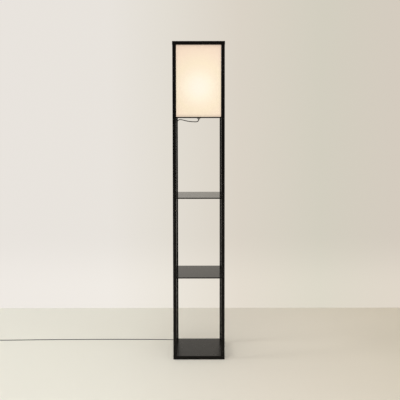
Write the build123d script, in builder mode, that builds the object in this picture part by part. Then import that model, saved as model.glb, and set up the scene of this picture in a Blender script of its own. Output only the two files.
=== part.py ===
from build123d import *
import math
import os

# Shelf floor lamp: a square tower of three open compartments under a fabric
# shade that stands between the top posts.
# Millimetres. +Z is up, the front is -Y, and the origin is on the floor under
# the middle of the base.

os.makedirs("parts", exist_ok=True)

# ---------------------------------------------------------------- frame sizes
lamp_width = 260.0  # across the posts, left to right
lamp_depth = 260.0  # across the posts, front to back
post_side = 18.0
post_edge = 0.8  # eased edges of posts, boards and top frame
pad_diameter = 20.0
pad_thickness = 1.0
pad_inset = 30.0  # pad centre from the edges of the base
base_thickness = 18.0
compartment_height = 398.0  # clear height of each compartment
shelf_thickness = 6.0
shelf_edge = 0.4
lamp_post_length = 356.0
rail_height = 18.0
rail_overhang = 1.0  # how far the top frame stands out past the posts

# ------------------------------------------------------------- fastener sizes
thread_diameter = 6.0
thread_reach = 12.0  # how far a stud or bolt goes into an insert
insert_diameter = 9.0
insert_length = 13.0
bore_spare = 5.0  # bore left beyond the end of an insert
thread_gap = 0.1  # round a thread in its insert, and an insert in its bore
fastener_sides = 6  # hidden threads, inserts and their bores have this many sides
shelf_hole_gap = 0.25  # round a stud in its shelf
bolt_head_diameter = 11.0
bolt_head_height = 4.0
bolt_head_recess = 6.0
bolt_head_play = 1.0  # round a bolt's head in its recess
hex_key = 4.0  # across the flats
hex_depth = 2.2
sunk_head_diameter = 11.6
sunk_head_setback = 0.3

# ---------------------------------------------------------------- shade sizes
shade_into_frame = 4.0  # how far the shade stands up between the top rails
shade_corner = 8.0
shade_play = 0.5  # between the shade and the posts' inner faces
fabric_thickness = 0.8
liner_thickness = 1.0
shade_wire = 3.0
wire_play = 0.1
wire_sides = 8
glue_line = 0.05
hem_height = 10.0

# ---------------------------------------------------------- lampholder sizes
nipple_diameter = 10.2
nipple_bore = 7.4
nipple_hole_gap = 0.25
nipple_below_nut = 1.0
nipple_in_cap = 9.0
washer_diameter = 22.0
washer_thickness = 1.2
nut_across_flats = 14.3
nut_thickness = 3.0
holder_cap_height = 24.0
holder_hub_diameter = 16.0
holder_hub_height = 5.0
holder_diameter = 37.0  # outside of the cap's rim
holder_wall = 1.0
holder_fit = 0.2  # between the cap, the shell, the sleeve and the body
shell_height = 52.0
shell_lap = 10.0  # how deep the shell sits in the cap
shell_wall = 0.8
bead_radius = 0.8
sleeve_wall = 0.6
holder_body_height = 30.0
holder_body_edge = 1.0
holder_body_lift = 3.0  # body above the shell's lower end
screw_shell_bore = 26.6
screw_shell_wall = 0.5
screw_shell_height = 22.0
contact_width = 7.0
contact_thickness = 0.6
contact_bend = 0.9
contact_rise = 5.0
contact_span = 8.0
key_height = 14.0  # spindle above the bottom of the holder body
key_spindle_diameter = 4.0
key_spindle_depth = 7.0  # how far the spindle goes into the holder body
key_fit = 0.08  # round the spindle where the holder body carries it
key_gap = 0.8  # round the spindle where it passes the sleeve and the shell
knob_diameter = 11.0
knob_length = 14.0
knob_standoff = 2.0
knob_flutes = 10
knob_flute_width = 1.4
knob_edge = 1.2
knob_socket = 8.0  # depth of the spindle's seat in the knob

# ----------------------------------------------------------------- bulb sizes
bulb_diameter = 60.0
bulb_length = 110.0
bulb_neck_diameter = 28.0
bulb_glass_wall = 1.0
bulb_cap_diameter = 26.0
bulb_cap_height = 26.0
bulb_cap_wall = 0.6
bulb_tip_diameter = 9.0
bulb_tip_height = 1.5
bulb_insulator_height = 4.5
bulb_neck_height = 6.0  # straight neck above the cap

# ----------------------------------------------------------------- lead sizes
lead_diameter = 5.2
lead_sides = 8
lead_clearance = 0.3
bushing_flange = 13.0
bushing_flange_thickness = 1.5
bushing_edge = 0.6
bushing_length = 8.0
bushing_gap = 0.15
clip_wall = 1.4
clip_sides = 8
clip_height = 6.0
clip_foot = 4.4
clip_foot_thickness = 3.0
clip_offset = 115.0  # from a clip to the nearest shelf or base
nail_diameter = 1.4
nail_head_diameter = 3.2
nail_head_height = 0.8
nail_depth = 10.0
nail_gap = 0.1
coil_pitch = 5.9  # from one turn to the next, sideways and up
coil_outer_radius = 35.0
coil_spans = 18  # pairs of arcs in the coil, each a little under a quarter turn
coil_span_angle = 85.0
coil_center = (-1176.0, 119.0)
plug_tail = 37.0  # straight lead between the coil and the plug
plug_width = 22.0
plug_length = 30.0
plug_collar = 10.0
plug_taper = 6.0
plug_collar_width = 11.0
plug_collar_height = 8.0
plug_corner = 3.5
blade_spacing = 12.7
blade_height = 6.35
blade_thickness = 1.5
blade_reach = 17.0
blade_seat = 8.0
blade_hole = 3.2
blade_gap = 0.1

# ------------------------------------------------------------------- levels
base_bottom = pad_thickness
base_top = base_bottom + base_thickness
lower_shelf_bottom = base_top + compartment_height
lower_shelf_top = lower_shelf_bottom + shelf_thickness
middle_shelf_bottom = lower_shelf_top + compartment_height
middle_shelf_top = middle_shelf_bottom + shelf_thickness
lamp_shelf_bottom = middle_shelf_top + compartment_height
lamp_shelf_top = lamp_shelf_bottom + shelf_thickness
rail_bottom = lamp_shelf_top + lamp_post_length
rail_top = rail_bottom + rail_height

post_x = (lamp_width - post_side) / 2
post_y = (lamp_depth - post_side) / 2
inner_x = lamp_width / 2 - post_side
inner_y = lamp_depth / 2 - post_side
corners = {
    "front_left": (-post_x, -post_y),
    "front_right": (post_x, -post_y),
    "rear_left": (-post_x, post_y),
    "rear_right": (post_x, post_y),
}
thread_radius = thread_diameter / 2
insert_bore = insert_diameter / 2 + thread_gap
sunk_radius = sunk_head_diameter / 2


def finish_piece(piece, name):
    """Labels a finished piece and writes its file."""
    piece.part.label = name
    export_step(piece.part, f"parts/{name}.step")


def at_corners(radius, mode=Mode.ADD):
    """The section of a hidden thread, insert or bore in each of the four corners."""
    with Locations(*corners.values()):
        RegularPolygon(radius, fastener_sides, mode=mode)


# -------------------------------------------------------------- base and pads
with BuildPart() as foot_pads:
    with BuildSketch():
        with GridLocations(lamp_width - 2 * pad_inset, lamp_depth - 2 * pad_inset, 2, 2):
            Circle(pad_diameter / 2)
    extrude(amount=pad_thickness)
finish_piece(foot_pads, "foot_pads")

with BuildPart() as base_board:
    with BuildSketch(Plane.XY.offset(base_bottom)):
        Rectangle(lamp_width, lamp_depth)
    extrude(amount=base_thickness)
    chamfer(base_board.edges().filter_by(Axis.Z), post_edge)
    rims = base_board.faces().filter_by(Axis.Z).edges()
    chamfer(rims, shelf_edge)
    with BuildSketch(Plane.XY.offset(base_bottom)):
        with Locations(*corners.values()):
            Circle(bolt_head_diameter / 2 + bolt_head_play)
    extrude(amount=bolt_head_recess, mode=Mode.SUBTRACT)
    with BuildSketch(Plane.XY.offset(base_bottom + bolt_head_recess)):
        at_corners(thread_radius + shelf_hole_gap)
    extrude(amount=base_thickness - bolt_head_recess, mode=Mode.SUBTRACT)
finish_piece(base_board, "base_board")

with BuildPart() as base_bolts:
    head_top = base_bottom + bolt_head_recess
    with BuildSketch(Plane.XY.offset(head_top)):
        with Locations(*corners.values()):
            Circle(bolt_head_diameter / 2)
    extrude(amount=-bolt_head_height)
    with BuildSketch(Plane.XY.offset(head_top - bolt_head_height)):
        with Locations(*corners.values()):
            RegularPolygon(hex_key / 2, 6, major_radius=False)
    extrude(amount=hex_depth, mode=Mode.SUBTRACT)
    with BuildSketch(Plane.XY.offset(head_top)):
        at_corners(thread_radius)
    extrude(amount=base_top + thread_reach - head_top)
finish_piece(base_bolts, "base_bolts")

# --------------------------------------------------- posts and their inserts
post_tiers = {
    "lower": (base_top, compartment_height),
    "middle": (lower_shelf_top, compartment_height),
    "upper": (middle_shelf_top, compartment_height),
    "lamp": (lamp_shelf_top, lamp_post_length),
}
lead_tiers = ("lower", "middle", "upper")
lead_y = lamp_depth / 2 + lead_clearance + lead_diameter / 2
clip_inner = lead_diameter / 2 + lead_clearance
clip_outer = clip_inner + clip_wall
nail_x = -post_x + clip_outer + clip_foot / 2 - nail_gap
clip_levels = [
    level
    for tier in lead_tiers
    for level in (
        post_tiers[tier][0] + clip_offset,
        post_tiers[tier][0] + post_tiers[tier][1] - clip_offset,
    )
]

for tier, (bottom, length) in post_tiers.items():
    for corner, (x, y) in corners.items():
        with BuildPart() as post:
            with BuildSketch(Plane.XY.offset(bottom)):
                with Locations((x, y)):
                    Rectangle(post_side, post_side)
            extrude(amount=length)
            chamfer(post.edges().filter_by(Axis.Z), post_edge)
            for end, inward in ((bottom, 1), (bottom + length, -1)):
                with BuildSketch(Plane.XY.offset(end)):
                    with Locations((x, y)):
                        RegularPolygon(insert_bore, fastener_sides)
                extrude(amount=inward * (insert_length + bore_spare), mode=Mode.SUBTRACT)
            if corner == "rear_left" and tier in lead_tiers:
                with BuildSketch(Plane.XZ.offset(-lamp_depth / 2)):
                    with Locations(*[(nail_x, z) for z in clip_levels if bottom < z < bottom + length]):
                        RegularPolygon(nail_diameter / 2 + nail_gap, fastener_sides)
                extrude(amount=nail_depth + nail_gap, mode=Mode.SUBTRACT)
        finish_piece(post, f"{tier}_post_{corner}")

    with BuildPart() as inserts:
        for level in (bottom, bottom + length - insert_length):
            with BuildSketch(Plane.XY.offset(level)):
                at_corners(insert_diameter / 2)
                at_corners(thread_radius + thread_gap, Mode.SUBTRACT)
            extrude(amount=insert_length)
    finish_piece(inserts, f"{tier}_post_inserts")

# ----------------------------------------------- shelves and joining studs
nipple_hole = nipple_diameter / 2 + nipple_hole_gap
shelf_levels = {
    "lower": lower_shelf_bottom,
    "middle": middle_shelf_bottom,
    "lamp": lamp_shelf_bottom,
}
for name, bottom in shelf_levels.items():
    with BuildPart() as shelf:
        with BuildSketch(Plane.XY.offset(bottom)):
            Rectangle(lamp_width, lamp_depth)
        extrude(amount=shelf_thickness)
        chamfer(shelf.edges().filter_by(Axis.Z), post_edge)
        chamfer(shelf.faces().filter_by(Axis.Z).edges(), shelf_edge)
        with BuildSketch(Plane.XY.offset(bottom)):
            at_corners(thread_radius + shelf_hole_gap)
            if name == "lamp":
                Circle(nipple_hole)
        extrude(amount=shelf_thickness, mode=Mode.SUBTRACT)
    finish_piece(shelf, f"{name}_shelf")

    with BuildPart() as studs:
        with BuildSketch(Plane.XY.offset(bottom - thread_reach)):
            at_corners(thread_radius)
        extrude(amount=shelf_thickness + 2 * thread_reach)
    finish_piece(studs, f"{name}_shelf_studs")

# -------------------------------------- top frame: four rails lapped in halves
rail_width = post_side + rail_overhang
frame_x = lamp_width / 2 + rail_overhang
frame_y = lamp_depth / 2 + rail_overhang
rail_sides = {
    "front": (Plane.XZ.offset(inner_y), Keep.TOP),
    "back": (Plane.XZ.offset(-inner_y), Keep.BOTTOM),
    "left": (Plane.YZ.offset(-inner_x), Keep.BOTTOM),
    "right": (Plane.YZ.offset(inner_x), Keep.TOP),
}
for name, (inner_face, kept_side) in rail_sides.items():
    with BuildPart() as rail:
        with BuildSketch(Plane.XY.offset(rail_bottom)):
            Rectangle(2 * frame_x, 2 * frame_y)
        extrude(amount=rail_height)
        chamfer(rail.edges().filter_by(Axis.Z), post_edge)
        chamfer(rail.faces().sort_by(Axis.Z)[-1].edges(), shelf_edge)
        with BuildSketch(Plane.XY.offset(rail_bottom)):
            Rectangle(2 * inner_x, 2 * inner_y)
            at_corners(thread_radius + shelf_hole_gap)
        extrude(amount=rail_height, mode=Mode.SUBTRACT)
        with Locations(*[(x, y, rail_top) for x, y in corners.values()]):
            Cone(
                thread_radius,
                sunk_radius + sunk_head_setback,
                sunk_radius + sunk_head_setback - thread_radius,
                align=(Align.CENTER, Align.CENTER, Align.MAX),
                mode=Mode.SUBTRACT,
            )
        split(bisect_by=inner_face, keep=kept_side)
        lap_bottom = rail_bottom if name in ("left", "right") else rail_bottom + rail_height / 2
        with BuildSketch(Plane.XY.offset(lap_bottom)):
            with GridLocations(2 * frame_x - rail_width, 2 * frame_y - rail_width, 2, 2):
                Rectangle(rail_width, rail_width)
        extrude(amount=rail_height / 2, mode=Mode.SUBTRACT)
    finish_piece(rail, f"top_rail_{name}")

with BuildPart() as top_bolts:
    head_top = rail_top - sunk_head_setback
    bolt_end = rail_bottom - thread_reach
    with BuildSketch(Plane.XY.offset(bolt_end)):
        at_corners(thread_radius)
    extrude(amount=head_top - bolt_end - hex_depth)
    with Locations(*[(x, y, head_top) for x, y in corners.values()]):
        Cone(
            thread_radius,
            sunk_radius,
            sunk_radius - thread_radius,
            align=(Align.CENTER, Align.CENTER, Align.MAX),
        )
    with BuildSketch(Plane.XY.offset(head_top - hex_depth)):
        with Locations(*corners.values()):
            RegularPolygon(hex_key / 2, 6, major_radius=False)
    extrude(amount=hex_depth, mode=Mode.SUBTRACT)
finish_piece(top_bolts, "top_bolts")

# --------------------------------------------------------------------- shade
# A cloth tube bonded to a stiff liner, its edges turned over a square wire.
shade_x = 2 * (inner_x - shade_play)
shade_y = 2 * (inner_y - shade_play)
shade_height = lamp_post_length + shade_into_frame
shade_bottom = lamp_shelf_top
shade_top = shade_bottom + shade_height
liner_inset = fabric_thickness + glue_line
wire_inset = liner_inset + liner_thickness + wire_play
skirt_inset = wire_inset + shade_wire + wire_play
lip_inset = skirt_inset + fabric_thickness


def shade_ring(inset, width):
    """A square tube's outline: its outer face at inset, and its wall's width."""
    for step, mode in ((inset, Mode.ADD), (inset + width, Mode.SUBTRACT)):
        RectangleRounded(
            shade_x - 2 * step,
            shade_y - 2 * step,
            max(shade_corner - step, 0.5),
            mode=mode,
        )


with BuildPart() as shade_fabric:
    with BuildSketch(Plane.XY.offset(shade_bottom)):
        shade_ring(0, fabric_thickness)
    extrude(amount=shade_height)
    for lip in (shade_bottom, shade_top - fabric_thickness):
        with BuildSketch(Plane.XY.offset(lip)):
            shade_ring(0, lip_inset)
        extrude(amount=fabric_thickness)
    for hem in (shade_bottom, shade_top - hem_height):
        with BuildSketch(Plane.XY.offset(hem)):
            shade_ring(skirt_inset, fabric_thickness)
        extrude(amount=hem_height)
finish_piece(shade_fabric, "shade_fabric")

with BuildPart() as shade_liner:
    with BuildSketch(Plane.XY.offset(shade_bottom + liner_inset)):
        shade_ring(liner_inset, liner_thickness)
    extrude(amount=shade_height - 2 * liner_inset)
finish_piece(shade_liner, "shade_liner")

wire_center = wire_inset + shade_wire / 2
wire_x = shade_x / 2 - wire_center
wire_y = shade_y / 2 - wire_center
wire_bend = max(shade_corner - wire_center, shade_wire * 0.6)
ring_levels = {
    "bottom": shade_bottom + liner_inset + wire_play + shade_wire / 2,
    "top": shade_top - liner_inset - wire_play - shade_wire / 2,
}
for name, level in ring_levels.items():
    with BuildPart() as shade_wire_ring:
        with BuildSketch(Plane.XY.offset(level), mode=Mode.PRIVATE) as ring_outline:
            RectangleRounded(2 * wire_x, 2 * wire_y, wire_bend)
        ring_path = ring_outline.sketch.wire()
        with BuildSketch(Plane(ring_path @ 0, z_dir=ring_path % 0)):
            RegularPolygon(shade_wire / 2, wire_sides)
        sweep(path=ring_path)
    finish_piece(shade_wire_ring, f"shade_{name}_ring")

# ---------------------------------------------------------------- lampholder
# A threaded nipple clamps the holder to the lamp shelf between two nuts.
lower_nut_bottom = lamp_shelf_bottom - washer_thickness - nut_thickness
nipple_bottom = lower_nut_bottom - nipple_below_nut
upper_nut_bottom = lamp_shelf_top + washer_thickness
holder_bottom = upper_nut_bottom + nut_thickness
nipple_radius = nipple_diameter / 2
nipple_fit = nipple_radius + thread_gap


def nipple_way():
    """Opens a washer or a nut for the nipple."""
    RegularPolygon(nipple_fit, fastener_sides, major_radius=False, mode=Mode.SUBTRACT)


with BuildPart() as holder_nipple:
    with BuildSketch(Plane.XY.offset(nipple_bottom)):
        Circle(nipple_radius)
        Circle(nipple_bore / 2, mode=Mode.SUBTRACT)
    extrude(amount=holder_bottom + nipple_in_cap - nipple_bottom)
finish_piece(holder_nipple, "holder_nipple")

with BuildPart() as holder_washers:
    for level in (lamp_shelf_bottom - washer_thickness, lamp_shelf_top):
        with BuildSketch(Plane.XY.offset(level)):
            Circle(washer_diameter / 2)
            nipple_way()
        extrude(amount=washer_thickness)
finish_piece(holder_washers, "holder_washers")

with BuildPart() as holder_nuts:
    for level in (lower_nut_bottom, upper_nut_bottom):
        with BuildSketch(Plane.XY.offset(level)):
            RegularPolygon(nut_across_flats / 2, 6, major_radius=False)
            nipple_way()
        extrude(amount=nut_thickness)
finish_piece(holder_nuts, "holder_nuts")

cap_radius = holder_diameter / 2
hub_radius = holder_hub_diameter / 2
cap_top = holder_bottom + holder_cap_height
dome_height = holder_cap_height - holder_hub_height - shell_lap
dome_run = cap_radius - hub_radius
dome_base = holder_bottom + holder_hub_height
with BuildPart() as holder_cap:
    with BuildSketch(Plane.XZ):
        with BuildLine():
            Polyline(
                (nipple_fit, dome_base + holder_wall),
                (nipple_fit, holder_bottom),
                (hub_radius, holder_bottom),
                (hub_radius, dome_base),
            )
            EllipticalCenterArc(
                (hub_radius, dome_base + dome_height),
                dome_run,
                dome_height,
                start_angle=270,
                arc_size=90,
            )
            Polyline(
                (cap_radius, dome_base + dome_height),
                (cap_radius, cap_top),
                (cap_radius - holder_wall, cap_top),
                (cap_radius - holder_wall, dome_base + dome_height),
            )
            EllipticalCenterArc(
                (hub_radius, dome_base + dome_height),
                dome_run - holder_wall,
                dome_height - holder_wall,
                start_angle=270,
                arc_size=90,
            )
            Line(
                (hub_radius, dome_base + holder_wall),
                (nipple_fit, dome_base + holder_wall),
            )
        make_face()
    revolve(axis=Axis.Z)
finish_piece(holder_cap, "holder_cap")

shell_bottom = cap_top - shell_lap
shell_top = shell_bottom + shell_height
shell_radius = cap_radius - holder_wall - holder_fit
sleeve_radius = shell_radius - shell_wall - holder_fit
body_radius = sleeve_radius - sleeve_wall - holder_fit
body_bottom = shell_bottom + holder_body_lift
body_top = body_bottom + holder_body_height
key_level = body_bottom + key_height
spindle_radius = key_spindle_diameter / 2


def key_bore(outer_radius, depth, gap):
    """Cuts the spindle's way through a round wall on the front side."""
    with Locations((0, -outer_radius, key_level)):
        Cylinder(
            spindle_radius + gap,
            depth,
            rotation=(-90, 0, 0),
            align=(Align.CENTER, Align.CENTER, Align.MIN),
            mode=Mode.SUBTRACT,
        )


shell_inner = shell_radius - shell_wall
with BuildPart() as holder_shell:
    with BuildSketch(Plane.XZ):
        with Locations((shell_radius - shell_wall / 2, shell_bottom + shell_height / 2)):
            Rectangle(shell_wall, shell_height)
        for bead_level in (shell_top - 2 * bead_radius, cap_top + 2 * bead_radius):
            with Locations((shell_radius - bead_radius / 2, bead_level)):
                RegularPolygon(bead_radius, 6)
        with Locations((shell_inner / 2, shell_bottom + shell_height / 2)):
            Rectangle(shell_inner, shell_height, mode=Mode.SUBTRACT)
    revolve(axis=Axis.Z)
    key_bore(shell_radius + bead_radius, 2 * bead_radius + 2 * shell_wall, key_gap)
finish_piece(holder_shell, "holder_shell")

with BuildPart() as insulating_sleeve:
    with BuildSketch(Plane.XY.offset(shell_bottom)):
        Circle(sleeve_radius)
        Circle(sleeve_radius - sleeve_wall, mode=Mode.SUBTRACT)
    extrude(amount=shell_height - 2 * bead_radius)
    key_bore(sleeve_radius + holder_fit, 3 * sleeve_wall, key_gap)
finish_piece(insulating_sleeve, "insulating_sleeve")

with BuildPart() as holder_body:
    with BuildSketch(Plane.XY.offset(body_bottom)):
        Circle(body_radius)
    extrude(amount=holder_body_height)
    chamfer(holder_body.faces().sort_by(Axis.Z)[-1].edges(), holder_body_edge)
    key_bore(body_radius + holder_fit, key_spindle_depth + 2 * holder_fit, key_fit)
finish_piece(holder_body, "holder_body")

screw_radius = screw_shell_bore / 2
with BuildPart() as screw_shell:
    with BuildSketch(Plane.XY.offset(body_top)):
        Circle(screw_radius + screw_shell_wall)
        Circle(screw_radius, mode=Mode.SUBTRACT)
    extrude(amount=screw_shell_height)
finish_piece(screw_shell, "screw_shell")

# A strip of brass, doubled back so that it springs against the bulb.
with BuildPart() as centre_contact:
    with BuildSketch(Plane.XZ):
        with BuildLine():
            FilletPolyline(
                (-contact_span / 2, body_top + contact_thickness / 2),
                (contact_span / 2, body_top + contact_thickness / 2),
                (-contact_span / 2, body_top + contact_rise - contact_thickness / 2),
                radius=contact_bend,
            )
        trace(line_width=contact_thickness)
    extrude(amount=contact_width / 2, both=True)
finish_piece(centre_contact, "centre_contact")

with BuildPart() as switch_spindle:
    with Locations((0, -body_radius + key_spindle_depth, key_level)):
        Cylinder(
            spindle_radius,
            shell_radius + knob_standoff + knob_socket - body_radius + key_spindle_depth,
            rotation=(90, 0, 0),
            align=(Align.CENTER, Align.CENTER, Align.MIN),
        )
finish_piece(switch_spindle, "switch_spindle")

knob_back = shell_radius + knob_standoff
with BuildPart() as switch_knob:
    with BuildSketch(Plane.XZ.offset(knob_back)):
        with Locations((0, key_level)):
            Circle(knob_diameter / 2)
    extrude(amount=knob_length)
    chamfer(switch_knob.faces().sort_by(Axis.Y)[0].edges(), knob_edge)
    with BuildSketch(Plane.XZ.offset(knob_back)):
        with Locations((0, key_level)):
            with PolarLocations(knob_diameter / 2, knob_flutes):
                Rectangle(knob_flute_width, knob_flute_width, rotation=45)
    extrude(amount=knob_length, mode=Mode.SUBTRACT)
    with BuildSketch(Plane.XZ.offset(knob_back)):
        with Locations((0, key_level)):
            Circle(spindle_radius + thread_gap)
    extrude(amount=knob_socket + thread_gap, mode=Mode.SUBTRACT)
finish_piece(switch_knob, "switch_knob")

# ---------------------------------------------------------------------- bulb
bulb_tip = body_top + contact_rise
bulb_top = bulb_tip + bulb_length
bulb_radius = bulb_diameter / 2
bulb_center = bulb_top - bulb_radius
neck_radius = bulb_neck_diameter / 2
glass_bottom = bulb_tip + bulb_cap_height
neck_top = glass_bottom + bulb_neck_height
# The neck's hollow curve is the arc that meets both the straight neck and the ball.
neck_drop = bulb_center - neck_top
neck_bend = (neck_drop**2 / (bulb_radius - neck_radius) - bulb_radius - neck_radius) / 2
neck_angle = math.degrees(math.atan2(neck_drop, neck_radius + neck_bend))


def bulb_side(inset):
    """The bulb's outline from its top to the end of its neck, inset from the glass."""
    CenterArc((0, bulb_center), bulb_radius - inset, -neck_angle, 90 + neck_angle)
    CenterArc(
        (neck_radius + neck_bend, neck_top),
        neck_bend + inset,
        180 - neck_angle,
        neck_angle,
    )
    Line((neck_radius - inset, neck_top), (neck_radius - inset, glass_bottom))


with BuildPart() as bulb_glass:
    with BuildSketch(Plane.XZ):
        with BuildLine():
            bulb_side(0)
            bulb_side(bulb_glass_wall)
            Line((0, bulb_top - bulb_glass_wall), (0, bulb_top))
            Line((neck_radius - bulb_glass_wall, glass_bottom), (neck_radius, glass_bottom))
        make_face()
    revolve(axis=Axis.Z)
finish_piece(bulb_glass, "bulb_glass")

cap_outer = bulb_cap_diameter / 2
tip_radius = bulb_tip_diameter / 2
insulator_top = bulb_tip + bulb_tip_height + bulb_insulator_height
with BuildPart() as bulb_cap:
    with BuildSketch(Plane.XZ):
        with BuildLine():
            Polyline(
                (0, bulb_tip),
                (tip_radius, bulb_tip),
                (tip_radius, bulb_tip + bulb_tip_height),
                (cap_outer, insulator_top),
                (cap_outer, glass_bottom),
                (cap_outer - bulb_cap_wall, glass_bottom),
                (cap_outer - bulb_cap_wall, insulator_top + bulb_cap_wall),
                (0, insulator_top + bulb_cap_wall),
                close=True,
            )
        make_face()
    revolve(axis=Axis.Z)
finish_piece(bulb_cap, "bulb_cap")

# ------------------------------------------------- lead: bushing, clips, nails
bushing_radius = nipple_bore / 2 - bushing_gap
lead_exit = nipple_bottom - bushing_flange_thickness
with BuildPart() as lead_bushing:
    with BuildSketch(Plane.XY.offset(lead_exit)):
        Circle(bushing_flange / 2)
        RegularPolygon(lead_diameter / 2 - lead_clearance, lead_sides, mode=Mode.SUBTRACT)
    extrude(amount=bushing_flange_thickness)
    with BuildSketch(Plane.XY.offset(nipple_bottom)):
        Circle(bushing_radius)
        RegularPolygon(lead_diameter / 2 - lead_clearance, lead_sides, mode=Mode.SUBTRACT)
    extrude(amount=bushing_length - bushing_flange_thickness)
    chamfer(lead_bushing.faces().sort_by(Axis.Z)[0].outer_wire().edges(), bushing_edge)
finish_piece(lead_bushing, "lead_bushing")

clip_reach = lead_y + clip_outer - lamp_depth / 2  # from the post to the clip's back
with BuildPart() as lead_clips:
    for level in clip_levels:
        with BuildSketch(Plane.XY.offset(level - clip_height / 2)):
            with BuildLine():
                Polyline(
                    (-post_x - clip_outer, lamp_depth / 2),
                    (-post_x - clip_outer, lamp_depth / 2 + clip_reach - clip_outer / 2),
                    (-post_x - clip_outer / 2, lamp_depth / 2 + clip_reach),
                    (-post_x + clip_outer / 2, lamp_depth / 2 + clip_reach),
                    (-post_x + clip_outer, lamp_depth / 2 + clip_reach - clip_outer / 2),
                    (-post_x + clip_outer, lamp_depth / 2 + clip_foot_thickness),
                    (nail_x + clip_foot / 2, lamp_depth / 2 + clip_foot_thickness),
                    (nail_x + clip_foot / 2, lamp_depth / 2),
                    close=True,
                )
            make_face()
            with Locations((-post_x, lead_y)):
                RegularPolygon(clip_inner, clip_sides, major_radius=False, mode=Mode.SUBTRACT)
            with Locations((-post_x, lamp_depth / 2)):
                Rectangle(2 * clip_inner, 2 * (lead_y - lamp_depth / 2), mode=Mode.SUBTRACT)
        extrude(amount=clip_height)
    with BuildSketch(Plane.XZ.offset(-lamp_depth / 2 - clip_foot_thickness)):
        with Locations(*[(nail_x, level) for level in clip_levels]):
            RegularPolygon(nail_diameter / 2 + nail_gap, fastener_sides)
    extrude(amount=clip_foot_thickness, mode=Mode.SUBTRACT)
finish_piece(lead_clips, "lead_clips")

with BuildPart() as clip_nails:
    for radius, end, reach in (
        (nail_diameter / 2, clip_foot_thickness, nail_depth + clip_foot_thickness),
        (nail_head_diameter / 2, clip_foot_thickness + nail_head_height, nail_head_height),
    ):
        with BuildSketch(Plane.XZ.offset(-lamp_depth / 2 - end)):
            with Locations(*[(nail_x, level) for level in clip_levels]):
                RegularPolygon(radius, fastener_sides)
        extrude(amount=reach)
finish_piece(clip_nails, "clip_nails")

# ------------------------------------------------------- lead: its free route
lead_radius = lead_diameter / 2
# The lead's section is an octagon in the circle of its width.
lead_section = lead_sides * lead_radius**2 * math.sin(2 * math.pi / lead_sides) / 2


def bend_radii(points):
    """The largest fair radius at each inner point of a route."""
    radii = []
    for before, here, after in zip(points, points[1:], points[2:]):
        run_in = Vector(*here) - Vector(*before)
        run_out = Vector(*after) - Vector(*here)
        half_turn = math.radians(run_in.get_angle(run_out)) / 2
        shorter = min(run_in.length, run_out.length)
        radii.append(0.45 * shorter / math.tan(half_turn))
    return radii


def lead_tube(name, points):
    """A lead along straight runs joined by tangent arcs."""
    radii = bend_radii(points)
    with BuildPart() as tube:
        with BuildLine() as route:
            FilletPolyline(*points, radius=radii)
        with BuildSketch(Plane(points[0], z_dir=route.wires()[0] % 0)):
            RegularPolygon(lead_radius, lead_sides)
        sweep(path=route.wires()[0])
    length = route.wires()[0].length
    expected = lead_section * length
    print(f"{name}: {length:.1f} mm long, volume {tube.part.volume / expected:.4f} of expected")
    print("  radii " + " ".join(f"{radius:.0f}" for radius in radii))
    finish_piece(tube, name)


# From the bushing it sags under the lamp shelf, passes the rear left post and
# goes down the post's back to the floor.
post_route = [
    (0.0, 0.0, lead_exit),
    (0.0, 0.0, lead_exit - 5.5),
    (-5.5, 5.0, lead_exit - 9.8),
    (-17.0, 15.0, lead_exit - 12.0),
    (-36.0, 33.0, lead_exit - 12.5),
    (-58.0, 57.0, lead_exit - 11.0),
    (-79.0, 82.0, lead_exit - 6.0),
    (-96.0, 106.0, lead_exit - 1.5),
    (-106.5, 127.0, lead_exit - 3.5),
    (-114.0, 140.0, lead_exit - 15.0),
    (-118.5, 144.0, lead_exit - 35.0),
    (-120.5, 139.5, lead_exit - 59.0),
    (-post_x, lead_y, lead_exit - 90.0),
    (-post_x, lead_y, 62.0),
    (-121.8, 134.8, 42.0),
    (-124.5, 139.2, 25.0),
    (-131.0, 144.6, 11.8),
    (-142.0, 149.8, 4.2),
    (-157.0, 154.6, lead_radius),
    (-171.0, 158.4, lead_radius),
]
coil_x, coil_y = coil_center


def coil_point(angle):
    """A point of the coil's middle line, by its angle from the coil's start."""
    total = coil_spans * coil_span_angle
    from_end = min(angle, total - angle)
    radius = coil_outer_radius - coil_pitch * from_end / 360
    climb = (angle - total / 2) / coil_span_angle
    rise = min(max((climb + 1) / 2, 0), 1)
    turn = math.radians(90 + angle)
    return Vector(
        coil_x + radius * math.cos(turn),
        coil_y + radius * math.sin(turn),
        lead_radius + coil_pitch * rise,
    )


def coil_heading(angle):
    """The way that the lead runs at a point of the coil."""
    step = 1.0
    return (coil_point(angle + step) - coil_point(angle - step)).normalized()


coil_angle = coil_spans * coil_span_angle
coil_marks = [coil_span_angle * count for count in range(coil_spans + 1)]
coil_headings = [coil_heading(min(max(mark, 1.0), coil_angle - 1.0)) for mark in coil_marks]
coil_start = coil_point(0) - coil_headings[0] * lead_diameter
coil_end = coil_point(coil_angle) + coil_headings[-1] * plug_tail

floor_route = [
    post_route[-1],
    (-185.0, 162.2, lead_radius),
    (-215.0, 165.0, lead_radius),
    (-285.0, 166.6, lead_radius),
    (-355.0, 167.4, lead_radius),
    (-430.0, 167.9, lead_radius),
    (-506.0, 168.0, lead_radius),
    (-580.0, 167.8, lead_radius),
    (-652.0, 167.2, lead_radius),
    (-722.0, 166.1, lead_radius),
    (-790.0, 164.6, lead_radius),
    (-858.0, 162.9, lead_radius),
    (-926.0, 161.0, lead_radius),
    (-992.0, 158.9, lead_radius),
    (-1056.0, 156.6, lead_radius),
    tuple(coil_start - coil_headings[0] * 52.0),
    tuple(coil_start),
]
lead_tube("post_lead", post_route)
lead_tube("floor_lead", floor_route)


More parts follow.
